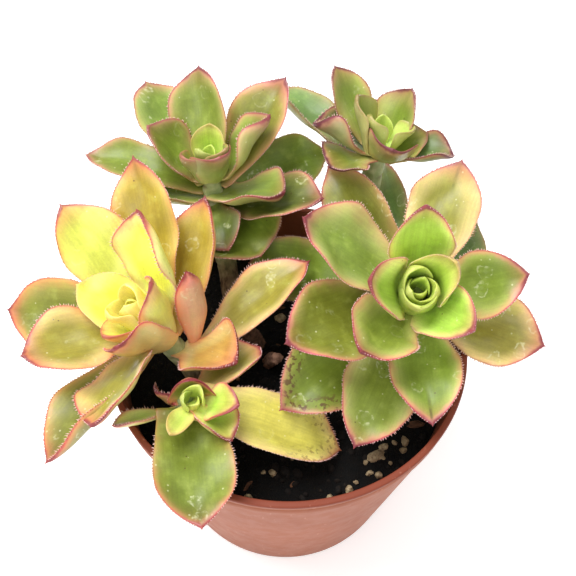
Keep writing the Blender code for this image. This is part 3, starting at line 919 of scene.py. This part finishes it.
def pot_section():
    """The pot's section from the middle of its underside, round the lip and down the inside."""
    collar_bottom = POT_HEIGHT - COLLAR_HEIGHT
    collar_radius = RIM_RADIUS - LIP_REACH
    lip_bottom = POT_HEIGHT - LIP_HEIGHT
    floor_top = UNDERSIDE_RECESS + WALL
    inside = RIM_RADIUS - LIP_REACH - WALL
    ring_inside = FOOT_RADIUS - FOOT_RING_WIDTH
    return [
        (PAD_RADIUS - 0.4, 0.0), (PAD_RADIUS, 0.15), (PAD_RADIUS + 1.0, UNDERSIDE_RECESS),
        (ring_inside - 1.0, UNDERSIDE_RECESS), (ring_inside, 0.2), (ring_inside + 0.4, 0.0),
        *arc_points((FOOT_RADIUS - 0.6, 0.6), 0.6, -90, 0, 5),
        *((outer_radius(z), z) for z in np.linspace(2, collar_bottom - 1.5, 26)),
        (outer_radius(collar_bottom - 0.5), collar_bottom - 0.5),
        (outer_radius(collar_bottom) + 0.1, collar_bottom),
        (collar_radius - 0.12, collar_bottom + 0.45),
        (collar_radius, collar_bottom + 0.8), (collar_radius, collar_bottom + 2.6),
        (collar_radius - 0.14, collar_bottom + 2.8), (collar_radius - 0.14, collar_bottom + 3.0),
        (collar_radius, collar_bottom + 3.2), (collar_radius, lip_bottom - 0.2),
        *arc_points((RIM_RADIUS - 0.45, lip_bottom + 0.5), 0.45, -70, 0, 5),
        *arc_points((RIM_RADIUS - 0.5, POT_HEIGHT - 0.5), 0.5, 0, 90, 6),
        *arc_points((inside + 0.5, POT_HEIGHT - 0.5), 0.5, 90, 180, 5),
        (inner_radius(collar_bottom) + 0.25, collar_bottom + 1.0),
        (inner_radius(collar_bottom), collar_bottom),
        *((inner_radius(z), z) for z in np.linspace(collar_bottom - 3, floor_top + 1.2, 20)),
        (inner_radius(floor_top) - 0.5, floor_top + 0.3),
        (inner_radius(floor_top) - 1.3, floor_top), (PAD_RADIUS, floor_top),
    ]


def make_pot():
    """The turned pot, very slightly out of round, with its drain holes cut."""
    section = pot_section()
    angles = round_angles(POT_SIDES)
    points, inside, lip = [], [], []
    turned = section.index(max(section, key=lambda p: (p[1], -p[0])))
    for index, (radius, height) in enumerate(section):
        warp = 1 + 0.0012 * np.sin(2 * angles + 0.7) + 0.0006 * np.sin(5 * angles)
        warp = 1 + (warp - 1) * height / POT_HEIGHT
        for angle, pull in zip(angles, warp):
            points.append((radius * pull * cos(angle), radius * pull * sin(angle), height))
            inside.append(index > turned)
            lip.append(height > POT_HEIGHT - LIP_HEIGHT + 0.1 and index <= turned + 3)
    heights = [p[2] for p in points]
    pot = add_piece(
        "nursery_pot", points, tube_faces(len(section), POT_SIDES), pot_paint(),
        {"inside": inside, "height": heights, "lip": lip},
    )
    for hole in range(DRAIN_HOLES):
        angle = 2 * pi * (hole + DRAIN_TURN) / DRAIN_HOLES
        x, y = DRAIN_CIRCLE * cos(angle), DRAIN_CIRCLE * sin(angle)
        line, radii = np.array([(x, y, -3.0), (x, y, 9.0)]), np.full((2, DRAIN_SIDES), DRAIN_RADIUS)
        tube = swept_tube(line, radii, DRAIN_SIDES)
        cutter = add_piece("cutter", tube, tube_faces(2, DRAIN_SIDES), pot.data.materials[0])
        boolean = pot.modifiers.new("hole", "BOOLEAN")
        boolean.object, boolean.solver = cutter, "EXACT"
        with bpy.context.temp_override(object=pot, active_object=pot, selected_objects=[pot]):
            bpy.ops.object.modifier_apply(modifier="hole")
        bpy.data.objects.remove(cutter)
    pot.data.set_sharp_from_angle(angle=radians(50))
    hand_over(pot, "terracotta_plastic", "pot")


# ---------- soil
def soil_level(radius):
    """Mean level of the soil, which falls towards the pot's wall."""
    return SOIL_TOP - SOIL_SINK - SOIL_FALL * (radius / SOIL_RADIUS) ** 3


def soil_lumps(x, y):
    """Height of the lumpy soil surface above its mean level."""
    lumps = noise.fractal(Vector((x * 0.16, y * 0.16, 3.0)), 0.8, 2.1, 4)
    crumbs = noise.noise(Vector((x * 0.9, y * 0.9, 7.0)))
    return 0.9 * lumps + 0.35 * crumbs


def make_soil():
    """The soil plug with its lumpy surface."""
    rings, sides = 92, 200
    points = []
    for k in range(rings):
        radius = max(0.02, SOIL_RADIUS * k / (rings - 1))
        for angle in round_angles(sides):
            x, y = radius * cos(angle), radius * sin(angle)
            rise = soil_lumps(x, y) * min(1, (SOIL_RADIUS - radius) / 1.5 + 0.3)
            points.append((x, y, soil_level(radius) + rise))
    foot_radius = inner_radius(4.0) - 0.5
    for z in (SOIL_TOP - 6, SOIL_TOP - 20, SOIL_LOW.z + 0.2):
        share = (z - SOIL_LOW.z) / (SOIL_TOP - SOIL_LOW.z)
        radius = foot_radius + (SOIL_RADIUS - foot_radius) * share
        points += [(radius * cos(angle), radius * sin(angle), z) for angle in round_angles(sides)]
    soil = add_piece("soil_surface", points, tube_faces(rings + 3, sides), earth_paint())
    hand_over(soil, "soil", "soil")


def lump(rng, centre, size, flatness, points, faces, detail):
    """Adds one rough lump, a noisy rounded block turned any way."""
    bm = bmesh.new()
    bmesh.ops.create_icosphere(bm, subdivisions=detail, radius=1.0)
    turn = Matrix.Rotation(rng.uniform(0, 2 * pi), 3, "Z")
    turn = turn @ Matrix.Rotation(rng.uniform(0, pi), 3, "X")
    across, aside = rng.uniform(0.75, 1.3), rng.uniform(0.7, 1.1)
    stretch = Vector((across, aside, flatness * rng.uniform(0.8, 1.2)))
    shift = Vector((rng.uniform(0, 90), rng.uniform(0, 90), rng.uniform(0, 90)))
    first = len(points)
    for vert in bm.verts:
        rough = 1 + 0.35 * noise.noise(vert.co * 1.3 + shift)
        rough += 0.14 * noise.noise(vert.co * 3.7 + shift)
        at = turn @ Vector(c * s for c, s in zip(vert.co * rough, stretch))
        points.append(tuple(Vector(centre) + at * size / 2))
    faces += moved([[v.index for v in face.verts] for face in bm.faces], first)
    bm.free()


def on_soil(x, y, sink):
    return (x, y, soil_level(sqrt(x * x + y * y)) + soil_lumps(x, y) - sink)


def scatter(rng, count, smallest, largest, flatness):
    """Lumps of random size spread evenly over the soil."""
    points, faces = [], []
    for _ in range(count):
        radius = (SOIL_RADIUS - 1.8) * sqrt(rng.random())
        angle = rng.uniform(0, 2 * pi)
        size = smallest + (largest - smallest) * rng.random() ** 3
        x, y = radius * cos(angle), radius * sin(angle)
        lump(rng, on_soil(x, y, size * 0.12), size, flatness, points, faces, 2)
    return points, faces


# Perlite grains that show between the leaves: place on the soil and size.
PERLITE = (
    (26, -30, 5.2), (28.5, -27, 2.4), (34.5, -25, 3.0), (34, -28, 2.2), (31.5, -25.5, 1.6),
    (23, -32, 1.8), (26.5, -36, 3.0), (24, -35.5, 2.0), (18, -40.5, 2.8), (12.5, -43, 2.6),
    (-3.5, -36, 2.6), (-10, -43, 1.8), (-2.5, 17, 4.0), (-6, -36, 1.4), (20, -38, 1.5),
    (30, -32, 1.4),
)


def make_mix():
    """Crumbs, perlite and bark chips lying on the soil."""
    rng = random.Random(11)
    points, faces = scatter(rng, 620, 0.9, 3.4, 0.8)
    paint = crumb_paint("crumbs", (12, 9, 8), (32, 25, 20), 1.5)
    hand_over(add_piece("soil_crumbs", points, faces, paint), "soil")

    points, faces = scatter(rng, 18, 0.8, 2.2, 0.8)
    for x, y, size in PERLITE:
        lump(rng, on_soil(x, y, size * 0.05), size, 0.8, points, faces, 3)
    paint = crumb_paint("perlite", (112, 90, 66), (180, 160, 126), 1.2)
    hand_over(add_piece("perlite", points, faces, paint), "soil")

    points, faces = scatter(rng, 46, 2.0, 6.5, 0.28)
    paint = crumb_paint("bark", (70, 44, 30), (122, 84, 60), 2.0)
    hand_over(add_piece("bark_chips", points, faces, paint), "soil")


def make_stub():
    """The dry woody stump of the old main stem, with a side branch."""
    rng = np.random.RandomState(4)
    rings, sides = 26, 22
    line_sets = (
        [(-9, 6, 58), (-10, 6.5, 64), (-11.5, 6, 70), (-13.5, 5, 75)],
        [(-6, 1.5, 58), (-5.6, 0, 64), (-4.5, -2, 69), (-3, -4, 72.5)],
    )
    points, faces = [], []
    for line_points, width in zip(line_sets, (2.6, 2.0)):
        keys = np.linspace(0, 1, len(line_points))
        line = at_run(np.linspace(0, 1, rings), keys, np.array(line_points))
        turn = round_angles(sides)[None]
        radius = width * (1 + 0.10 * np.sin(3 * turn + 1) + 0.08 * np.sin(7 * turn))
        radius = radius * (1 + rng.uniform(-0.05, 0.05, (rings, sides)))
        radius = radius * np.linspace(1.15, 0.85, rings)[:, None]
        first = len(points)
        points += swept_tube(line, radius, sides).tolist()
        faces += moved(tube_faces(rings, sides), first)
    paint = crumb_paint("old_wood", (96, 66, 52), (160, 122, 100), 1.6)
    hand_over(add_piece("old_stem_stub", points, faces, paint), "stem_skin")


# ---------- studio
CAMERA_ELEVATION, CAMERA_ROLL = 52.33, 1.31
CAMERA_DISTANCE, CAMERA_RISE = 235.4, 14.37


def floor_paint():
    p = Paint("pale_floor")
    tint = p.step(p.noise(60, 2), 0.3, 0.7)
    colour = p.mix(tint, linear((250, 250, 250)), linear((253, 253, 253)))
    white = (1.0, 1.0, 1.0)
    return p.finish(
        colour, 0.6, Specular_IOR_Level=0.2, Emission_Color=white, Emission_Strength=0.3
    )


def make_floor():
    bm = bmesh.new()
    bmesh.ops.create_grid(bm, x_segments=8, y_segments=8, size=6.0)
    mesh = bpy.data.meshes.new("floor")
    bm.to_mesh(mesh)
    bm.free()
    mesh.materials.append(floor_paint())
    floor = bpy.data.objects.new("floor", mesh)
    bpy.context.scene.collection.objects.link(floor)
    floor.location.z = -0.0002


def make_light():
    world = bpy.data.worlds.new("studio")
    world.use_nodes = True
    sky = world.node_tree.nodes["Background"]
    sky.inputs["Color"].default_value = (1.0, 1.0, 1.0, 1.0)
    sky.inputs["Strength"].default_value = 0.78
    bpy.context.scene.world = world
    for name, place, size, power in (
        ("overhead", (-0.30, 0.10, 0.9), 0.6, 9.0),
        ("front", (-0.35, -0.8, 0.7), 0.5, 3.0),
    ):
        lamp = bpy.data.lights.new(name, "AREA")
        lamp.shape, lamp.size, lamp.energy = "DISK", size, power
        light = bpy.data.objects.new(name, lamp)
        light.location = place
        aim = Vector((0, 0, 0.08)) - light.location
        light.rotation_euler = aim.to_track_quat("-Z", "Y").to_euler()
        bpy.context.scene.collection.objects.link(light)


def make_camera():
    """A camera in front of and above the pot, aimed a little above its rim."""
    elevation, turn = radians(CAMERA_ELEVATION), radians(CAMERA_ROLL)
    back = Vector((0, -cos(elevation), sin(elevation)))
    right = Vector((1, 0, 0))
    up = back.cross(right)
    right, up = cos(turn) * right + sin(turn) * up, cos(turn) * up - sin(turn) * right
    camera = bpy.data.objects.new("camera", bpy.data.cameras.new("camera"))
    camera.data.lens, camera.data.sensor_width = 50.0, 36.0
    camera.data.clip_start, camera.data.clip_end = 0.01, 50.0
    spot = Vector((0, 0, POT_HEIGHT)) + back * CAMERA_DISTANCE + up * CAMERA_RISE
    turned = Matrix((right, up, back)).transposed().to_4x4()
    camera.matrix_world = Matrix.Translation(spot * MM) @ turned
    bpy.context.scene.collection.objects.link(camera)
    bpy.context.scene.camera = camera


make_camera()
make_floor()
make_light()
make_pot()
make_soil()
make_mix()
make_stub()
for order, (rosette_name, rosette_data) in enumerate(ROSETTES.items()):
    make_stem(rosette_name, rosette_data, 10 + order)
    make_rosette(rosette_name, rosette_data, 100 * (order + 1))

bpy.context.scene.view_settings.view_transform = "Standard"
